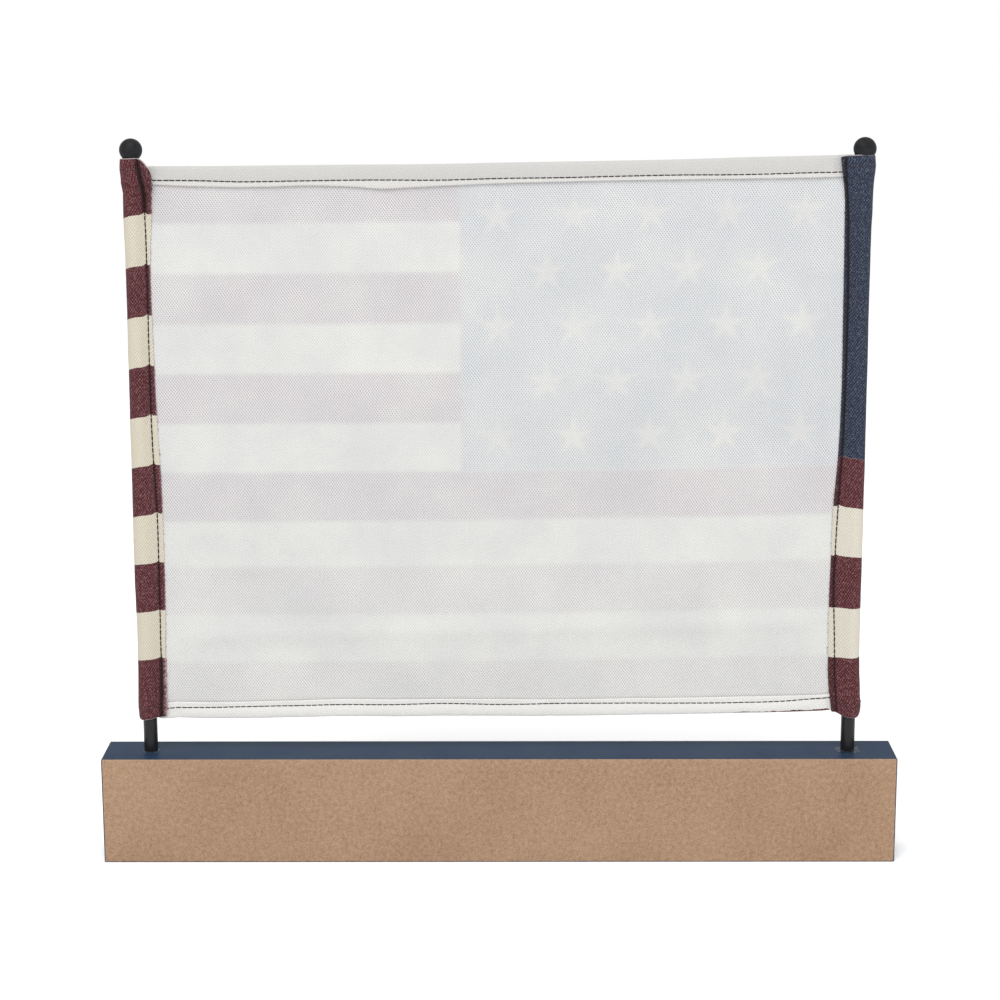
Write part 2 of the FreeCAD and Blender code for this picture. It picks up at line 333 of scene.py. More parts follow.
def printed_material():
    """The front of the cloth: solid ink that leaves pale flecks in the weave."""
    m = Material("printed_twill_front")
    u, v, _ = m.coordinates("cloth")
    place = m.vector(u, v)
    ragged = (m.noise(place, 0.7, 1.0) - 0.5) * 0.5
    red, canton, stars = print_masks(u + ragged, v + ragged, 0.25)
    crown, gap = weave_fields(m, u, v)
    worn = m.noise(place, 1.3, 3.0)
    speck = m.noise(m.vector(u, v, 9.0), 0.55, 1.0).step(0.62, 0.2)
    fleck = (gap * (worn.step(0.52, 0.3) * 0.8 + 0.15) + speck * 0.6).clamp()
    # Painted shade: the cream darkens and warms from right to left across the cloth.
    cream_shaded_to_left = m.mix(u.step(0.0, 300.0), SHADED_PRINT_CREAM, PRINT_CREAM_RIGHT)
    ink = m.mix(red, cream_shaded_to_left, PRINT_RED)
    ink = m.mix(canton, ink, m.mix(stars, PRINT_NAVY, cream_shaded_to_left))
    ink = m.mix((crown * 0.35).clamp(), ink, rgb(0, 0, 0))
    bare_yarn = m.mix(canton, rgb(190, 140, 143), rgb(132, 142, 160))
    ink = m.mix((fleck * 0.36).clamp(), ink, bare_yarn)
    bare, turned, past = bare_fields(m, u, v)
    from_edge, from_seam, _ = m.coordinates("edge")
    dark_ink = (red + canton * stars.inverted()).clamp()
    # The left pocket's top and bottom stripes are the most worn, and have the widest painted shade along
    # the seam.
    high_left = v.above(240.0) * u.below(0.0)
    low_left = v.step(42, 6.0).inverted() * u.below(0.0)
    # Painted shade: the ink darkens in a band along each pocket's seam groove and over the right pocket's
    # flap, most where the ink is dark.
    wide = high_left * 0.6 + low_left * 0.4
    groove_shade_mask = (from_seam.absolute() - wide).step(0.8, 1.0).inverted()
    flap = from_seam.step(0.0, 0.6).inverted() * u.above(0.0)
    painted_shade = groove_shade_mask * (high_left * 0.22 + low_left * 0.1 + 0.5) + flap * 0.3
    ink = m.mix((painted_shade * (dark_ink * 0.85 + 0.15)).clamp(0.0, 0.8), ink, rgb(20, 12, 15))
    ragged_edge = m.noise(m.vector(from_edge * 0.4, v), 0.7, 2.0)
    ragged_edge = ((ragged_edge - 0.5) * 4.0 + 0.5).clamp()
    frayed = from_edge.step(0.4, 0.6).inverted()
    frayed = frayed * (low_left * 0.7 + high_left * 0.7 + u.below(0.0) * 0.15 + 0.05)
    frayed = frayed + from_edge.step(1.1, 1.4).inverted() * (low_left + high_left) * 0.28
    rim = past.absolute().step(0.42, 0.4).inverted() * turned
    worn_away = (frayed * (ragged_edge * 1.3) + rim * (worn * 0.9)).clamp()
    ink = m.mix(worn_away, ink, rgb(205, 186, 186))
    # Painted shade: the top hem's band from its fold to its stitches is coloured darker.
    upper = m.mix(past.step(6.7, 0.8), SHADED_UPPER_MARGIN, INNER_MARGIN)
    plain = m.mix(v.above(0.0), LOWER_MARGIN, upper)
    # Painted shade: the margin's cloth darkens in the gaps between the yarns.
    plain = m.mix((gap * 0.3).clamp(), plain, rgb(140, 137, 132))
    m.colour(m.mix(bare, ink, plain))
    m.bump(crown, YARN_RELIEF)
    return m.set(Roughness=0.86, **CLOTH_SHEEN).data


def reverse_material():
    """The back of the cloth: white, with the print showing through between the yarns."""
    m = Material("printed_twill_back")
    u, v, _ = m.coordinates("cloth")
    place = m.vector(u, v)
    red, canton, stars = print_masks(u, v, 3.2)
    crown, gap = weave_fields(m, u, v)
    patchy = m.noise(place, 26.0, 3.0)
    fine = m.noise(place, 1.6, 2.0)
    bare, _, _ = bare_fields(m, u, v)
    blue = canton * (stars * -0.8 + 1.0)
    dark_red = red * canton.inverted()
    ink = ((blue + dark_red) * bare.inverted()).clamp()
    tint = m.mix(blue, rgb(156, 147, 155), rgb(147, 152, 164))
    wash = (blue * -0.06 + 0.08) * (v.step(70, 120) + 0.1)
    shown = ink * (patchy * 1.6 + 0.2) * (gap * (fine * 1.3 + 0.3) * 1.5 + wash)
    shown = shown * (v.step(97, 16) * 0.4 + 0.6) * (blue * -0.1 + 1.0)
    clouds = m.noise(m.vector(u, v, 3.0), 38.0, 3.0, 0.6)
    ground = m.mix(clouds.step(0.5, 0.5), CLOTH_WHITE, CLOTH_SHADE)
    # Painted shade: the cloth darkens in the gaps between the yarns.
    ground = m.mix((gap * 0.5).clamp(), ground, rgb(147, 147, 145))
    m.colour(m.mix(shown.clamp(), ground, tint))
    m.bump(crown, YARN_RELIEF)
    return m.set(Roughness=0.88, **CLOTH_SHEEN).data


# ---- other materials

def block_material():
    """Navy satin paint on the block, and raw fibreboard on the face towards -Y."""
    m = Material("painted_board")
    x, y, z = m.coordinates()
    _, facing, _ = m.coordinates("Normal")
    place = m.vector(x, y, z)
    lap = m.noise(place, 2.2, 2.0) * 0.4
    inset = (x.absolute() * -1.0 + BLOCK_HIGH[0]).math("MINIMUM", z + 0.15)
    raw = facing.step(-0.5, 0.3).inverted() * (inset - lap).step(0.3, 0.2)
    fibres = m.noise(m.vector(x * 0.55, y, z), 0.42, 3.0, 0.65)
    clumps = m.noise(place, 1.9, 2.0)
    clouds = m.noise(place, 30.0, 2.0)
    tone = ((fibres - 0.5) * 1.8 + (clumps - 0.5) * 0.9 + (clouds - 0.5) * 0.4 + 0.5).clamp()
    board = m.mix(tone, rgb(125, 98, 76), rgb(167, 140, 116))
    pits = fibres.step(0.33, 0.1).inverted()
    board = m.mix((pits * 0.5).clamp(), board, rgb(99, 77, 60))
    rim = (z * -1.0 + BLOCK_TOP).step(1.6, 1.4).inverted()
    board = m.mix((rim * 0.05).clamp(), board, rgb(160, 147, 136))
    streaks = m.noise(m.vector(x * 0.25, y, z), 3.0, 3.0)
    bloom = m.noise(place, 22.0, 2.0)
    uneven = ((streaks - 0.5) * 0.8 + (bloom - 0.5) * 0.9 + 0.5).clamp()
    paint = m.mix(uneven, rgb(17, 36, 65), rgb(43, 59, 74))
    m.colour(m.mix(raw, paint, board))
    m.roughness(raw * 0.4 + (streaks * 0.12 + 0.42))
    orange_peel = m.noise(place, 1.1, 2.0) * 0.12
    m.bump(orange_peel + raw * (fibres * 0.8), 0.12)
    return m.set(Specular_IOR_Level=0.06).data


def rod_material():
    """Satin black enamel, faintly drawn along the rod."""
    m = Material("black_enamel")
    x, y, z = m.coordinates()
    drawn = m.noise(m.vector(x, y, z * 0.04), 0.5, 3.0)
    specks = m.noise(m.vector(x, y, z), 0.5, 2.0)
    m.colour(m.mix(drawn, rgb(16, 16, 18), rgb(28, 28, 30)))
    m.roughness((drawn * 0.1 + 0.24).clamp())
    m.bump((specks * 0.4 + drawn * 0.6).clamp(), 0.01)
    return m.set(Specular_IOR_Level=0.25).data


def finial_material():
    """Matt charcoal paint with a fine powdery grain."""
    m = Material("charcoal_paint")
    place = m.vector(*m.coordinates())
    grain = m.noise(place, 0.35, 3.0)
    patches = m.noise(place, 3.0, 2.0)
    tone = ((grain - 0.5) * 1.4 + (patches - 0.5) * 1.8 + 0.5).clamp()
    m.colour(m.mix(tone, rgb(7, 8, 10), rgb(33, 34, 36)))
    m.roughness((grain * 0.2 + 0.48).clamp())
    m.bump(grain, 0.03)
    return m.set(Specular_IOR_Level=0.15).data


def glue_material():
    """Dried clear glue, slightly milky."""
    m = Material("clear_glue")
    milk = m.noise(m.vector(*m.coordinates()), 1.2, 2.0)
    m.colour(m.mix(milk, rgb(120, 128, 136), rgb(180, 186, 188)))
    m.roughness((milk * 0.1 + 0.16).clamp())
    m.bump(milk, 0.01)
    return m.set(Transmission_Weight=0.95, IOR=1.42, Alpha=0.4).data


def thread_material(name, dark, pale):
    """Twisted sewing thread."""
    m = Material(name)
    x, y, z = m.coordinates()
    twist = ((x + z + y * 0.7) * (2 * math.pi / 0.32)).math("SINE") * 0.5 + 0.5
    fuzz = m.noise(m.vector(x, y, z), 0.8, 2.0)
    m.colour(m.mix((twist * 0.5 + fuzz * 0.5).clamp(), dark, pale))
    m.bump(twist, 0.04)
    return m.set(Roughness=0.75, Specular_IOR_Level=0.15).data


def fray_material(name, bare, dyed):
    """Loose fibre ends, some dyed and some bare."""
    m = Material(name)
    x, y, z = m.coordinates()
    share = m.noise(m.vector(x, y, z), 0.9, 1.0).step(0.5, 0.2)
    m.colour(m.mix(share, bare, dyed))
    m.bump(m.noise(m.vector(x, y, z * 0.2), 0.08, 1.0), 0.01)
    return m.set(Roughness=0.8, Sheen_Weight=0.3).data


def floor_material():
    """A pale, faintly mottled studio floor."""
    m = Material("studio_floor")
    mottle = m.noise(m.vector(*m.coordinates()), 300.0, 2.0)
    m.colour(m.mix(mottle, rgb(250, 250, 250), rgb(253, 253, 253)))
    return m.set(Roughness=0.9, Specular_IOR_Level=0.1).data


MATERIALS = {
    "front": printed_material(),
    "back": reverse_material(),
    "block": block_material(),
    "rod": rod_material(),
    "finial": finial_material(),
    "glue": glue_material(),
    "thread": thread_material("sewing_thread", rgb(14, 11, 11), rgb(40, 29, 26)),
    "face_thread": thread_material("face_thread", rgb(34, 28, 34), rgb(72, 58, 66)),
    "left_fray": fray_material("red_fibre", rgb(200, 150, 157), rgb(128, 70, 80)),
    "right_fray": fray_material("navy_fibre", rgb(148, 148, 158), rgb(58, 62, 80)),
    "floor": floor_material(),
}


# ---- mesh helpers

def smooth(value, low, high):
    """0 under low, 1 over high, with an even curve between them."""
    t = np.clip((np.asarray(value, float) - low) / (high - low), 0, 1)
    return t * t * (3 - 2 * t)


def through(points, value):
    """A smooth curve through a few (place, value) points, read at value."""
    xs, ys = (np.array(c, float) for c in zip(*points))
    slopes = np.gradient(ys, xs)
    value = np.clip(np.asarray(value, float), xs[0], xs[-1])
    i = np.clip(np.searchsorted(xs, value, side="right") - 1, 0, len(xs) - 2)
    h = xs[i + 1] - xs[i]
    t = (value - xs[i]) / h
    return ((2 * t**3 - 3 * t**2 + 1) * ys[i] + (t**3 - 2 * t**2 + t) * h * slopes[i]
            + (3 * t**2 - 2 * t**3) * ys[i + 1] + (t**3 - t**2) * h * slopes[i + 1])


def unit(vectors):
    """Vectors turned into the same directions of length 1."""
    return vectors / np.linalg.norm(vectors, axis=-1, keepdims=True)


def distances(line):
    """How far along a line each of its points lies."""
    return np.concatenate([[0], np.cumsum(np.linalg.norm(np.diff(line, axis=0), axis=1))])


def resample(where, places, line):
    """Points at distances along a line whose own points lie at the distances in places."""
    return np.stack([np.interp(where, places, values) for values in line.T], axis=1)


def ring_faces(here, there, steps):
    """Quads between two closed rings of points, each given by its first index."""
    following = [(k, (k + 1) % steps) for k in range(steps)]
    return [(here + k, here + after, there + after, there + k) for k, after in following]


def new_object(name, vertices, faces, materials):
    """A smooth mesh object from points in millimetres."""
    mesh = bpy.data.meshes.new(name)
    mesh.from_pydata((np.asarray(vertices) * METRE).tolist(), [], faces)
    for material in materials:
        mesh.materials.append(material)
    mesh.polygons.foreach_set("use_smooth", [True] * len(mesh.polygons))
    mesh.update()
    piece = bpy.data.objects.new(name, mesh)
    bpy.context.scene.collection.objects.link(piece)
    return piece


# ---- the shape of the cloth

# Heights are above the top of the block. Distances from a rod's axis are positive towards the
# middle of the flag. Tables are (height, value) or (X, value) and are read with a smooth curve.
CLOTH = 0.4      # thickness of one layer
LAYER = 0.44     # distance between the middles of two layers that touch
PLAY = 0.12      # gap between a rod and the cloth round it
CROWDED = 2 * LAYER  # what a doubled hem adds to the one layer of the cloth
SOFTNESS = 0.65  # reach of the smoothing that rounds a pocket's corners
JOIN = 13.0      # where a pocket's columns end and the panel's begin, from the rod's axis
STITCH = 2.7     # length of one stitch

SEAM = {  # the pocket's row of stitches
    "left": [(0, 5.4), (24, 5.5), (45, 6.0), (76, 6.3), (117, 6.3), (140, 5.4), (180, 5.2), (246, 5.3),
             (254, 5.1), (261, 4.1), (268, 2.7)],
    "right": [(0, 6.0), (23, 6.2), (35, 6.9), (52, 7.4), (75, 8.3), (90, 8.2), (117, 7.3), (139, 6.2),
              (170, 5.7), (211, 5.7), (230, 6.2), (246, 6.7), (254, 7.3), (261, 8.1), (270, 8.6)],
}
FLAP = {  # the flap's raw edge
    "left": [(0, 7.6), (24, 7.8), (44, 7.8), (62, 8.5), (107, 8.7), (128, 8.5), (150, 7.7), (170, 7.3),
             (195, 6.9), (223, 6.9), (236, 7.6), (245, 8.2), (252, 8.5), (258, 8.9), (270, 9.2)],
    "right": [(0, 7.6), (19, 8.0), (27, 9.0), (36, 9.7), (46, 10.0), (60, 10.2), (90, 9.9), (112, 9.5),
              (136, 8.0), (165, 7.2), (200, 7.5), (242, 7.95), (254, 8.2), (259, 8.9), (263.5, 9.9),
              (270, 10.7)],
}
OUTER = {  # the pocket's outer side, away from the flag
    "left": [(0, 4.6), (16, 4.9), (22, 5.2), (30, 5.0), (42, 4.65), (90, 4.75), (120, 4.55), (160, 4.3),
             (185, 4.1), (246, 4.0), (256, 4.05), (261, 4.7), (265, 5.0), (270, 4.6)],
    "right": [(0, 4.6), (16, 5.0), (21, 5.3), (27, 4.9), (36, 4.4), (50, 4.2), (100, 4.1), (160, 3.95),
              (190, 3.82), (236, 3.82), (250, 4.1), (260, 4.4), (267, 4.7), (270, 4.5)],
}
# Folds at the pockets' ends, by landmark: 0 the flap's edge, 1 the seam on the -Y side, 2 the
# side nearest -Y, 3 the outer side, 4 the side nearest +Y, 5 the seam on the +Y side, 6 the join.
POCKET_TOP = {
    "left": [(0, 259.6), (0.25, 263.9), (0.5, 266.5), (0.75, 268.2), (1, 268.8), (1.5, 268.9), (2, 268.8),
             (3, 268.5), (4, 268.2), (5, 265.6)],
    "right": [(0, 269.0), (1, 269.4), (2, 269.8), (3, 269.5), (4, 269.2), (5, 269.6)],
}
POCKET_BOTTOM = {
    "left": [(0, 16.9), (1, 16.7), (1.5, 16.5), (2, 16.0), (2.6, 15.6), (3, 16.2), (4, 15.8), (5, 15.5)],
    "right": [(0, 18.9), (1, 18.6), (1.5, 17.2), (2, 16.6), (2.6, 16.7), (3, 18.8), (4, 18.1), (5, 19.3)],
}
HEM = {  # height of each turned hem
    "top": [(-165, 7.7), (-148, 7.8), (-129, 8.5), (-112, 8.9), (-75, 8.7), (-62, 9.3), (-51, 10.2),
            (-38, 9.7), (-12, 8.9), (27, 8.4), (79, 8.4), (105, 8.9), (165, 9.2)],
    "bottom": [(-165, 7.1), (-60, 7.7), (30, 7.5), (165, 7.4)],
}
SEWN = {  # distance of each hem's stitches from its fold
    "top": [(-165, 6.0), (-129, 6.1), (-112, 6.7), (-90, 6.6), (-47, 6.5), (-25, 6.8), (1, 6.6), (27, 6.7),
            (53, 6.5), (79, 6.5), (105, 7.2), (140, 7.1), (165, 7.4)],
    "bottom": [(-165, 4.6), (-147, 4.7), (-118, 5.3), (-72, 5.35), (-50, 5.45), (-27, 5.8), (0, 5.3),
               (28, 5.8), (55, 5.5), (82, 5.1), (110, 4.8), (132, 5.2), (142, 5.8), (165, 5.6)],
}
POCKET_SEWN = 4.9  # the same on the pockets
SAG = {  # how far the folds hang below straight lines between the panel's corners
    "top": [(-151, 0.4), (-125, 0.75), (-68, 1.1), (-25, 1.35), (1, 1.25), (53, 1.12), (79, 1.0),
            (105, 0.6), (127, 0.4), (150, 0.25)],
    "bottom": [(-151, -0.6), (-136, -0.2), (-95, -0.1), (-72, -0.4), (-50, 0.0), (-27, 0.0), (0, 0.5),
               (28, 0.8), (55, 0.5), (82, 0.4), (110, 0.2), (132, 0.05), (146, -0.35), (150, -0.5)],
}
# How far the print stands above its place at the left rod, on the pockets' -Y side.
PRINT_RISE = {
    "left": [(0, 1.9), (130, 2.2), (250, 2.5), (270, 2.5)],
    "right": [(0, 2.0), (45, 2.4), (68, 3.3), (91, 4.9), (114, 5.2), (270, 5.2)],
}
# The share of that rise at each landmark.
RISE_SHARE = [(0, 1.1), (0.6, 1.16), (1, 1.34), (1.3, 1.12), (2, 1.0), (3, 0.56), (4, 0.3), (5, 0.06),
              (6, 0)]
POCKET_COLUMNS = (9, 12, 9, 9, 12, 7)  # between one landmark and the next
PANEL_COLUMNS = 200


def fold_height(end, x):
    """Height of the panel's upper or lower fold, by X."""
    share = (x - PANEL_LOW[0]) / (PANEL_HIGH[0] - PANEL_LOW[0])
    left, right = (LEFT_HIGH, RIGHT_HIGH) if end == "top" else (LEFT_LOW, RIGHT_LOW)
    inset = -CLOTH / 2 if end == "top" else CLOTH / 2
    return left + share * (right - left) - BLOCK_TOP + inset - through(SAG[end], x)


def hem_layers(height, top, bottom):
    """1 where a hem between a fold and its inner edge adds its two layers, 0 elsewhere."""
    inner_edges = ((height, top - HEM["top"][0][1]), (-height, -bottom - HEM["bottom"][0][1]))
    return sum(smooth(place, edge - 2.5, edge + 0.5) for place, edge in inner_edges)


def pocket_section(side, height):
    """Middle line of a pocket's cloth at a height, from the flap's edge to the join.

    The results are one row of (distance from the rod's axis, Y) for each column, and each
    column's distance along the cloth.
    """
    seam, flap, outer = (float(through(table[side], height)) for table in (SEAM, FLAP, OUTER))
    flap_top = through(POCKET_TOP[side], 0.5)
    panel_folds = [fold_height(end, ROD_X[side]) for end in ("top", "bottom")]
    panel_hem = hem_layers(height, *panel_folds)
    flap_hem = hem_layers(height, flap_top, through(POCKET_BOTTOM[side], 0))
    lowest_top = min(fold for mark, fold in POCKET_TOP[side] if mark >= 1)
    highest_bottom = max(fold for mark, fold in POCKET_BOTTOM[side] if mark >= 1)
    tube_hem = hem_layers(height, lowest_top - 0.8, highest_bottom + 0.8)
    lift = (0.9 if side == "left" else 0.5) * smooth(height, 246, 264)
    back = -(LAYER + CROWDED * (panel_hem + flap_hem)) - lift
    radius = ROD_RADIUS + CLOTH / 2 + PLAY + CROWDED * tube_hem
    slack = max(outer - CLOTH / 2 - radius, 0.0)

    def touching(x, y, turn):
        """Angle at which a line from a point touches the tube."""
        return math.atan2(y, x) + turn * math.acos(min(radius / math.hypot(x, y), 1))

    near = touching(seam, back, -1)
    far = touching(seam, 0.0, 1)
    # The flap swells between its seam and its edge, most at the ends of the left pocket.
    crown = 0.4 + 0.4 * smooth(-height, -50, -36)
    if side == "left":
        crown += 1.7 * smooth(height, 238, 252)
    rolled = smooth(height, 240, 250) + smooth(-height, -50, -42) if side == "left" else 0
    along = np.linspace(1, 0, 26)
    curl = crown * np.sin(np.pi * along ** (0.55 + 1.6 * rolled)) - 0.04 * along ** 2
    flap_line = np.stack([seam + (flap - seam) * along, back - curl], axis=1)
    angles = np.linspace(near, far - 2 * math.pi, 90)
    tube = radius * np.stack([np.cos(angles), np.sin(angles)], axis=1)
    tube[:, 0] -= slack * smooth(-np.cos(angles), -0.05, 0.05)
    line = np.concatenate([flap_line, tube, [[seam, 0.0], [JOIN, 0.0]]])
    places = distances(line)
    tube_start = len(flap_line)

    def place_at(angle):
        return float(np.interp(-angle, -angles, places[tube_start:tube_start + len(tube)]))

    landmarks = [0, places[tube_start - 1], place_at(-math.pi / 2), place_at(-math.pi),
                 place_at(-1.5 * math.pi), places[-2], places[-1]]
    # Corners are rounded on a fine line, which the columns are then spread over.
    fine = np.linspace(0, places[-1], 500)
    dense = resample(fine, places, line)
    reach = max(int(SOFTNESS / (fine[1] - fine[0])), 1)
    weights = np.hanning(2 * reach + 3)[1:-1]
    weights /= weights.sum()
    before = 2 * dense[0] - dense[reach:0:-1]
    after = 2 * dense[-1] - dense[-2:-reach - 2:-1]
    padded = np.concatenate([before, dense, after])
    dense = np.stack([np.convolve(padded[:, i], weights, "valid") for i in (0, 1)], axis=1)
    wanted = [np.linspace(a, b, n, endpoint=False)
              for a, b, n in zip(landmarks, landmarks[1:], POCKET_COLUMNS)]
    wanted = np.concatenate(wanted + [[landmarks[-1]]])
    return resample(wanted, fine, dense), wanted


def noise_grid(a, b, seed):
    """Smooth noise between -1 and 1 at pairs of numbers."""
    values = [noise.noise(Vector((p, q, seed))) for p, q in zip(np.ravel(a), np.ravel(b))]
    return np.reshape(values, np.shape(a))


def panel_relief(x, z):
    """How far the panel stands towards +Y, by X and height."""
    calm = smooth(x, -149, -128) * smooth(-x, -149, -128)  # flat beside the pockets
    crease = 57.3 + (x + 135) * 0.022  # height of the deeper of two level creases
    out = -0.65 * np.exp(-((z - crease + 3.2) / 3.4) ** 2)
    out += -0.25 * np.exp(-((z - 86 - x * 0.01) / 2.6) ** 2) * smooth(-x, -30, 110)
    for place, height in ((-98, 0.3), (1, 0.22), (116, 0.25)):  # faint upright folds
        out += -height * np.exp(-((x - place) / 3.5) ** 2) * smooth(z, 60, 190)
    out += 1.5 * noise_grid(x / 62, z / 48, 3.1) + 0.5 * noise_grid(x / 24, z / 33, 7.7)
    ridge = -0.5 * np.exp(-((x - 140.5) / 2.4) ** 2) * smooth(z, 20, 45) * smooth(-z, -245, -180)
    edge = np.exp(-np.minimum(fold_height("top", x) - z, z - fold_height("bottom", x)) / 9)
    out += 0.28 * edge * noise_grid(x / 7, z / 30, 12.3)
    return out * calm + ridge


class Cloth:
    """The cloth's outer layer as a surface over columns and heights, and its flat pattern."""

    def __init__(self):
        self.heights = np.arange(-2.0, 275.0, 1.0)
        left, left_path, right, right_path = (
            np.array([section[i] for section in sections])
            for sections in ([pocket_section(side, h) for h in self.heights] for side, _ in SIDES)
            for i in (0, 1))
        join_left, join_right = ROD_X["left"] + JOIN, ROD_X["right"] - JOIN
        panel_x = np.linspace(join_left, join_right, PANEL_COLUMNS + 1)[1:-1]
        grid_x, grid_z = np.meshgrid(panel_x, self.heights)
        panel = np.stack([grid_x, panel_relief(grid_x, grid_z)], axis=2)
        left = left + [ROD_X["left"], 0]
        right = right[:, ::-1] * [-1, 1] + [ROD_X["right"], 0]
        self.surface = np.concatenate([left, panel, right], axis=1)
        self.path = np.concatenate([join_left + left_path - left_path[:, -1:], grid_x,
                                    join_right + right_path[:, -1:] - right_path[:, ::-1]], axis=1)
        self.u = self.path.mean(axis=0)
        steps = np.concatenate([[0], np.cumsum(POCKET_COLUMNS)])
        marks = np.interp(np.arange(steps[-1] + 1), steps, np.arange(len(steps)))
        self.mark = np.concatenate([marks, np.full(len(panel_x), 6.0), marks[::-1]])
        ends = np.ones(len(marks))
        self.side = np.concatenate([-ends, np.zeros(len(panel_x)), ends])
        middle = self.surface[len(self.heights) // 2, :, 0]
        self.x = np.clip(middle, PANEL_LOW[0], PANEL_HIGH[0])
        along = unit(np.gradient(self.surface, axis=1))
        self.normals = np.stack([-along[:, :, 1], along[:, :, 0]], axis=2)
        self.wrinkle()
        self.fold = {end: self.fold_line(end) for end in ("top", "bottom")}

    def wrinkle(self):
        """Small outward waves in the pockets' cloth."""
        grid_u, grid_z = np.meshgrid(self.u, self.heights)
        waves = noise_grid(grid_u / 5, grid_z / 13, 21.4)
        waves += 0.6 * noise_grid(grid_u / 3, grid_z / 5, 5.2)
        busy = 0.16 + 0.24 * smooth(grid_z, 232, 262) + 0.12 * smooth(-grid_z, -50, -20)
        fade = smooth(-self.mark, -5.2, -4.0) * (self.side != 0)
        self.surface += self.normals * (np.maximum(waves, -0.2) * busy * fade)[:, :, None]

    def fold_line(self, end):
        """Height of a fold for every column."""
        heights = fold_height(end, self.x)
        table = POCKET_TOP if end == "top" else POCKET_BOTTOM
        for side, sign in SIDES:
            corner = float(fold_height(end, ROD_X[side] - sign * JOIN))
            here = self.side == sign
            heights[here] = through(table[side] + [(6, corner)], self.mark[here])
        return heights

    def read(self, data, columns, heights):
        """A value kept for every height and column, at columns and heights."""
        place = np.clip(heights - self.heights[0], 0, len(self.heights) - 1.001)
        low = place.astype(int)
        share = (place - low).reshape(place.shape + (1,) * (data.ndim - 2))
        return data[low, columns] * (1 - share) + data[low + 1, columns] * share

    def pattern(self, columns, heights):
        """The print's coordinate v at columns and heights."""
        x = self.x[columns]
        share = (x - PANEL_LOW[0]) / (PANEL_HIGH[0] - PANEL_LOW[0])
        rise = share * (3.0 + 0.0044 * (heights - V_LOW)) - 0.9 * (1 - (x / 150) ** 2)
        rise -= TUCK * smooth(heights, 88, 105)
        for side, sign in SIDES:
            near = through(PRINT_RISE[side], heights)
            blend = through(RISE_SHARE, self.mark[columns]) * (self.side[columns] == sign)
            rise = rise + (near - rise) * blend
        return heights - rise

    def place(self, columns, heights, depth=0.0):
        """Points at a depth under the outer layer's middle, in millimetres above the ground."""
        normals = self.read(self.normals, columns, heights)
        flat = self.read(self.surface, columns, heights) - normals * np.asarray(depth)[..., None]
        return np.concatenate([flat, (heights + BLOCK_TOP)[..., None]], axis=-1)


def hem_rows(cloth, end):
    """Rows of the cloth from a hem's hidden raw edge, round its folds, to the panel's side of it.

    Each row holds the distance from the outer fold, the depth under the outer layer, and the
    distance along the cloth past the fold, which is negative on the outer side.
    """
    hem = through(HEM[end], cloth.x)
    sewn = through(SEWN[end], cloth.x)
    open_cloth = smooth(cloth.x, -146, -140) * smooth(-cloth.x, -146, -140) * (cloth.side == 0)
    lift = 0.22 + 0.22 * noise_grid(cloth.x / 9, hem, 31.7 if end == "top" else 44.1)
    half = LAYER / 2
    rows = []
    # the hidden layer, the inner fold, the inner layer, the outer fold, the outer layer
    for share in (0.16, 0.5, 0.84):
        rows.append((hem * share, LAYER, 2 * hem - hem * share))
    for angle in (0.0, 0.25, 0.5, 0.75, 1.0):
        turn = math.pi * angle
        rows.append((hem - half + half * math.sin(turn), LAYER * 1.5 - half * math.cos(turn)
                     + lift * open_cloth * angle, hem + half * (0.5 - angle) * math.pi))
    for share in (0.93, 0.86, 0.79, 0.72, 0.65, 0.56, 0.46, 0.36, 0.26, 0.16):
        away = hem * share
        loose = np.where(away < sewn, 0.24 * np.sin(np.pi * np.clip(away / sewn, 0, 1)),
                         lift * smooth(away - sewn, 0, 2.6))
        rows.append((away, 2 * LAYER + loose * open_cloth, away))
    for angle in (0.0, 0.2, 0.4, 0.6, 0.8, 1.0):
        turn = math.pi * angle
        rows.append((LAYER - LAYER * math.sin(turn), LAYER + LAYER * math.cos(turn),
                     LAYER * (0.5 - angle) * math.pi))
    for away in (1.3, 2.3, 3.4, 4.5, 5.6, 6.7, 7.8, 9.0, 10.4, 12.0):
        rows.append((away, 0.0, -away))
    return rows


FOLD_ROW = 24  # rows of a hem from its raw edge to the end of its outer fold
MIDDLE_ROWS = 84  # rows between those of the two hems


def make_cloth(cloth):
    """The whole cloth in one piece: panel, hems and pockets."""
    columns = np.arange(len(cloth.u))
    points, print_uv, margin_uv, edge_uv = [], [], [], []

    def add(heights, depth, past=0.0, sign=1):
        points.append(cloth.place(columns, heights, depth))
        across = cloth.read(cloth.path, columns, heights)
        print_uv.append(np.stack([across, cloth.pattern(columns, heights)], axis=1))
        margin_uv.append(np.stack([across, sign * (MARGIN + past) + 0 * across], axis=1))
        from_sides = []
        for margin in (0, POCKET_COLUMNS[0]):
            left, right = (cloth.read(cloth.path, 0 * columns + column, heights)
                           for column in (margin, columns[-1] - margin))
            from_sides.append(np.minimum(across - left, right - across))
        edge_uv.append(np.stack(from_sides, axis=1))

    top_rows, bottom_rows = hem_rows(cloth, "top"), hem_rows(cloth, "bottom")
    for away, depth, past in top_rows:
        add(cloth.fold["top"] - away, depth, past)
    start, stop = cloth.fold["top"] - top_rows[-1][0], cloth.fold["bottom"] + bottom_rows[-1][0]
    for share in np.linspace(0, 1, MIDDLE_ROWS + 2)[1:-1]:
        add(start + (stop - start) * share, 0.0)
    for away, depth, past in bottom_rows[::-1]:
        add(cloth.fold["bottom"] + away, depth, past, -1)
    strips = np.arange(len(points) - 1)
    past_fold = (strips < FOLD_ROW) | (strips >= len(strips) - FOLD_ROW)
    grids = [np.array(rows) for rows in (points, print_uv, margin_uv, edge_uv)]
    piece = sheet_object(*grids, past_fold)
    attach(piece, "flag")
    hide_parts("flag_panel", "top_hem", "bottom_hem", "left_rod_pocket", "right_rod_pocket")
    return piece


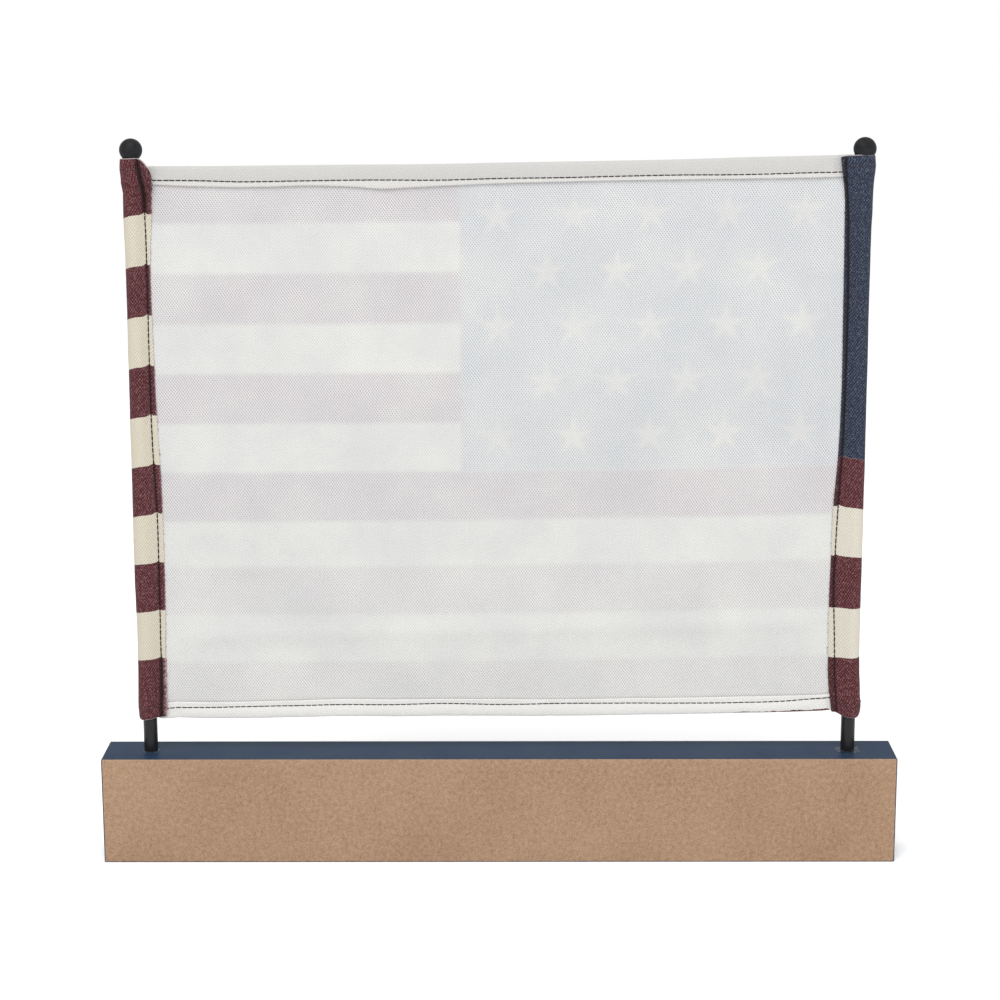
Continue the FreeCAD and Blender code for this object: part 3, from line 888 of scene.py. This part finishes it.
def sheet_object(points, print_uv, margin_uv, edge_uv, past_fold):
    """A closed sheet round a grid of points, printed on the side its normals point to."""
    rows, columns, _ = points.shape
    normals = unit(np.cross(np.gradient(points, axis=1), np.gradient(points, axis=0)))
    count = rows * columns
    index = np.arange(count).reshape(rows, columns)
    a, b, c, d = index[:-1, :-1], index[:-1, 1:], index[1:, 1:], index[1:, :-1]
    front = np.stack([a, b, c, d], axis=2).reshape(-1, 4)
    back = np.stack([a, d, c, b], axis=2).reshape(-1, 4) + count
    border = np.concatenate([index[0, :-1], index[:-1, -1], index[-1, :0:-1], index[:0:-1, 0]])
    following = np.roll(border, -1)
    rim = np.stack([following, border, border + count, following + count], axis=1)
    faces = np.concatenate([front, back, rim])
    outer = (points + normals * CLOTH / 2).reshape(-1, 3)
    inner = (points - normals * CLOTH / 2).reshape(-1, 3)
    both = np.concatenate([outer, inner])
    looks = (MATERIALS["front"], MATERIALS["back"])
    piece = new_object("flag_cloth", both, faces.tolist(), looks)
    inside = np.arange(len(faces)) >= len(front)
    piece.data.polygons.foreach_set("material_index", inside.astype(np.int32))
    on_margin = np.repeat(past_fold, columns - 1)
    on_margin = np.concatenate([on_margin, on_margin, np.zeros(len(rim), bool)])
    turned = np.repeat(on_margin, 4)[:, None]
    print_uv, margin_uv, edge_uv = (np.tile(uv.reshape(-1, 2), (2, 1))[faces.ravel()]
                                    for uv in (print_uv, margin_uv, edge_uv))
    for layer, uv in (("cloth", np.where(turned, margin_uv, print_uv)), ("edge", edge_uv)):
        piece.data.uv_layers.new(name=layer).data.foreach_set("uv", uv.ravel())
    return piece


# ---- thread, fray and glue

def tubes_object(name, paths, material):
    """Thin closed tubes; each path is (points, normals, half widths, half heights)."""
    sides = 6
    angles = np.arange(sides) * 2 * math.pi / sides
    vertices, faces, start = [], [], 0
    for points, normals, wide, high in paths:
        along = unit(np.gradient(points, axis=0))
        across = unit(np.cross(along, normals))
        up = np.cross(across, along)
        sideways = across[:, None] * np.outer(wide, np.cos(angles))[..., None]
        upwards = up[:, None] * np.outer(high, np.sin(angles))[..., None]
        vertices.append((points[:, None] + sideways + upwards).reshape(-1, 3))
        rings = len(points)
        for i in range(rings - 1):
            faces += ring_faces(start + i * sides, start + (i + 1) * sides, sides)
        faces.append(tuple(start + k for k in reversed(range(sides))))
        faces.append(tuple(start + (rings - 1) * sides + k for k in range(sides)))
        start += rings * sides
    return new_object(name, np.concatenate(vertices), faces, (material,))


def stitches(line, normals, jitter, weight):
    """Stitches along a line on the cloth, of thread that is weight times 0.5 mm wide."""
    places = distances(line)
    count = round(places[-1] / STITCH)
    pitch = places[-1] / count
    paths = []
    for k in range(count):
        swing = jitter.uniform(-0.12, 0.12)
        length = pitch * jitter.uniform(0.93, 1.03)
        # Each stitch comes up through the cloth, runs on it and goes down.
        share = np.array([0, 0.08, 0.28, 0.5, 0.72, 0.92, 1])
        where = k * pitch + length * share
        points = resample(where, places, line)
        up = unit(resample(where, places, normals))
        aside = np.cross(unit(np.gradient(points, axis=0)), up)
        rise = np.array([-0.22, 0.0, 0.09, 0.11, 0.09, 0.0, -0.22]) * weight
        points = points + up * rise[:, None] + aside * (swing * (share - 0.5))[:, None]
        body = np.array([0.6, 0.92, 1, 1, 1, 0.92, 0.6])
        paths.append((points, up, 0.25 * weight * body, 0.16 * weight * body))
    return paths


def surface_line(cloth, columns, heights, depth):
    """Points at a depth under the cloth's outer layer, and the ways out of the cloth there."""
    points = cloth.place(columns, heights, depth)
    flat = cloth.read(cloth.normals, columns, heights)
    return points, np.concatenate([flat, np.zeros((len(columns), 1))], axis=1)


def make_stitching(cloth):
    """Thread on both faces of every seam."""
    jitter = random.Random(7)
    columns = np.arange(len(cloth.u))
    outside = -CLOTH / 2
    made = []

    def sew(name, paths, look, node=None):
        piece = tubes_object(name, paths, MATERIALS[look])
        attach(piece, "flag")
        if node:
            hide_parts(node)
        made.append(piece)

    for end, sign in (("top", -1), ("bottom", 1)):
        sewn = through(SEWN[end], cloth.x)
        sewn = sewn + (POCKET_SEWN - sewn) * smooth(-cloth.mark, -5.2, -4.2)
        heights = cloth.fold[end] + sign * sewn
        points, normals = surface_line(cloth, columns, heights, outside)
        paths = stitches(points, normals, jitter, 0.6)
        sew(f"{end}_hem_face_thread", paths, "face_thread")
        shown = np.flatnonzero(cloth.mark > 5.05)
        points, normals = surface_line(cloth, shown, heights[shown], 2 * LAYER + CLOTH / 2)
        paths = stitches(points, -normals, jitter, 0.92)
        sew(f"{end}_hem_thread", paths, "thread", f"{end}_hem_stitching")
    for side, sign in SIDES:
        paths = []
        for mark in (1, 5):
            column = np.flatnonzero((cloth.side == sign) & (np.abs(cloth.mark - mark) < 1e-6))[0]
            low, high = cloth.fold["bottom"][column], cloth.fold["top"][column]
            heights = np.arange(low + 0.6, high - 0.6, 0.5)
            line = np.full(len(heights), column)
            points, normals = surface_line(cloth, line, heights, outside)
            paths += stitches(points, normals, jitter, 1.25)
        sew(f"{side}_pocket_thread", paths, "thread", f"{side}_pocket_stitching")
    return made


# Loose fibres along the flaps' raw edges: (from height, to height, count) for each stretch.
FRAYED = {"left": ((17, 43, 170), (43, 245, 100), (245, 258, 30)), "right": ((19, 268, 110),)}


def make_fray(cloth):
    """The loose fibres of both flaps."""
    chance = random.Random(11)
    last = len(cloth.u) - 1
    made = []
    for side, column, inner in (("left", 0, 2), ("right", last, last - 2)):
        paths = []
        for low, high, count in FRAYED[side]:
            for _ in range(count):
                height = np.array([chance.uniform(low, high)])
                root = cloth.place(np.array([column]), height)[0]
                inside = cloth.place(np.array([inner]), height)[0]
                out = (root - inside) / np.linalg.norm(root - inside)
                out[1] = min(out[1], 0.0)
                lean = chance.uniform(-1.1, 0.9)
                toward = chance.uniform(-0.5, -0.05)
                length = chance.uniform(0.5, 1.6) * (1.0 if high < 50 else 0.5)
                share = np.linspace(-0.25, 1, 5)[:, None]
                bend = np.array([0, toward, lean])
                points = root + length * (out * share + bend * share * np.abs(share) * 0.7)
                taper = np.linspace(0.1, 0.045, 5)
                paths.append((points, np.tile([0.0, -1.0, 0.01], (5, 1)), taper, taper))
        piece = tubes_object(f"{side}_flap_fray", paths, MATERIALS[f"{side}_fray"])
        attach(piece, "flag")
        made.append(piece)
    return made


GLUE = {  # profile of the glue as (distance from the rod, height), for each rod
    "left": [(-0.3, -0.05), (-0.3, 0.5), (0.02, 0.45), (0.15, 0.25), (0.4, 0.14), (0.7, 0.1),
             (0.95, -0.05)],
    "right": [(-0.3, -0.05), (-0.3, 0.5), (0.02, 0.45), (0.2, 0.2), (0.6, 0.07), (1.3, 0.04), (2.1, 0.04),
              (2.6, 0.08), (2.85, 0.08), (3.0, -0.05)],
}


def make_glue():
    """The uneven fillet of dried glue where each rod enters the block."""
    turns = 72
    for side, profile in GLUE.items():
        steps = len(profile)
        vertices, faces = [], []
        for i in range(turns):
            faces += ring_faces(i * steps, (i + 1) % turns * steps, steps)
            angle = 2 * math.pi * i / turns
            spin = Vector((math.cos(angle), math.sin(angle), len(side)))
            spread = 1 + 0.45 * noise.noise(spin * 1.3) + 0.2 * noise.noise(spin * 4)
            rise = 1 + 0.5 * noise.noise(spin * 2.1 + Vector((3, 1, 4)))
            for away, height in profile:
                radius = ROD_RADIUS + (away * spread if away > 0 else away)
                level = BLOCK_TOP + (height * rise if height > 0 else height)
                vertices.append((ROD_X[side] + radius * spin.x, radius * spin.y, level))
        piece = new_object(f"{side}_glue_fillet", vertices, faces, (MATERIALS["glue"],))
        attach(piece, "stand")
        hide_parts(f"{side}_socket_glue")


# ---- the scene

def paint_frame_nodes():
    """Gives the CAD nodes that stay visible their materials."""
    looks = {"base_block": "block", "left_rod": "rod", "right_rod": "rod",
             "left_finial": "finial", "right_finial": "finial"}
    for node, look in looks.items():
        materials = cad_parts[node].data.materials
        materials.clear()
        materials.append(MATERIALS[look])


def add_area_light(name, place, target, size, power):
    """A soft rectangular light: place and target in millimetres, size in metres, power in watts."""
    data = bpy.data.lights.new(name, "AREA")
    data.shape = "RECTANGLE"
    data.size, data.size_y = size
    data.energy = power
    light = bpy.data.objects.new(name, data)
    light.location = Vector(place) * METRE
    light.rotation_euler = (Vector(target) - Vector(place)).to_track_quat("-Z", "Y").to_euler()
    bpy.context.scene.collection.objects.link(light)


def make_studio():
    """A white floor, a white world, a soft light above the camera and a strip at the right."""
    reach = 3000  # the floor's edge is still as bright as the world there, so it doesn't show
    corners = [(-reach, -reach, 0), (reach, -reach, 0), (reach, reach, 0), (-reach, reach, 0)]
    floor = new_object("floor", corners, [(0, 1, 2, 3)], (MATERIALS["floor"],))
    world = bpy.data.worlds.new("studio")
    world.use_nodes = True
    background = world.node_tree.nodes["Background"]
    background.inputs["Color"].default_value = (1, 1, 1, 1)
    background.inputs["Strength"].default_value = 1.0
    bpy.context.scene.world = world
    add_area_light("key", (-250, -1000, 1700), (0, 0, 150), (1.2, 0.8), 22)
    add_area_light("strip", (1150, -610, 350), (0, 0, 150), (0.1, 1.1), 2.5)
    bpy.context.scene.view_settings.view_transform = "Standard"


make_camera()
make_studio()
paint_frame_nodes()
shape = Cloth()
flag = make_cloth(shape)
trimmings = make_stitching(shape) + make_fray(shape)
make_glue()
